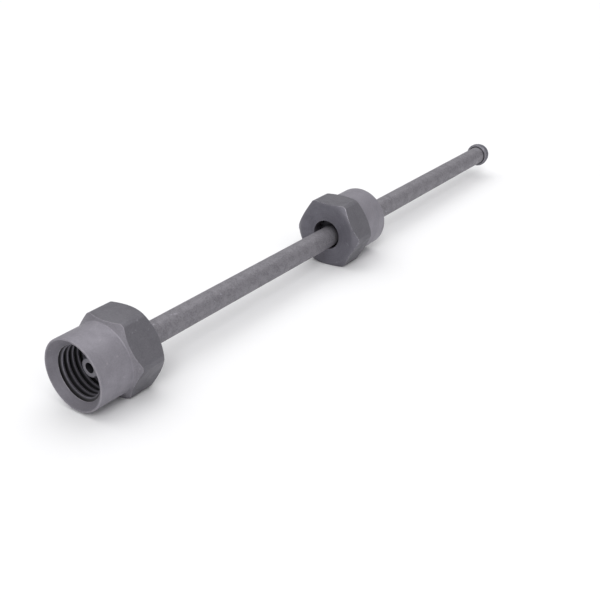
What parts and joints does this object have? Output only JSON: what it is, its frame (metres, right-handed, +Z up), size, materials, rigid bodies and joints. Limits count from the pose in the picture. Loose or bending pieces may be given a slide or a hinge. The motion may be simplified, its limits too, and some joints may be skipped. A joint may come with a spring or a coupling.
{
  "type": "high-pressure fuel pipe with union nuts",
  "caption": "Straight thick-walled steel fuel pipe with a formed sealing head at each end, loose union nuts with internal thread, and thrust collars behind the heads.",
  "frame": {"origin": "on the surface that the nuts rest on, below the middle of the whole part", "axes": "+X along the pipe from the front end to the far end, +Z up from the surface, +Y to the left seen from the front end"},
  "size_m": [0.2028, 0.0212, 0.019],
  "materials": {
    "pipe_steel": "matt phosphated, fine grain",
    "nut_steel": "matt phosphated, turned",
    "collar_steel": "satin, turned"
  },
  "bodies": {
    "pipe": {"pipe": "pipe_steel"},
    "front_collar": {"front_thrust_collar": "collar_steel"},
    "front_union": {"front_nut": "nut_steel"},
    "rear_collar": {"rear_thrust_collar": "collar_steel"},
    "rear_union": {"rear_nut": "nut_steel"}
  },
  "joints": [
    {"name": "front_nut_slide", "type": "slide", "parent": "pipe", "child": "front_collar", "axis": [1, 0, -0.0073], "range_m": [-0.0017, 0.039]},
    {"name": "front_nut_turn", "type": "hinge", "parent": "front_collar", "child": "front_union", "pos_m": [-0.08845, 0, 0.0095], "axis": [1, 0, 0], "continuous": true},
    {"name": "rear_nut_slide", "type": "slide", "parent": "pipe", "child": "rear_collar", "axis": [1, 0, -0.0073], "range_m": [-0.039, 0.0938]},
    {"name": "rear_nut_turn", "type": "hinge", "parent": "rear_collar", "child": "rear_union", "pos_m": [0.00115, 0, 0.0095], "axis": [1, 0, 0], "continuous": true}
  ]
}
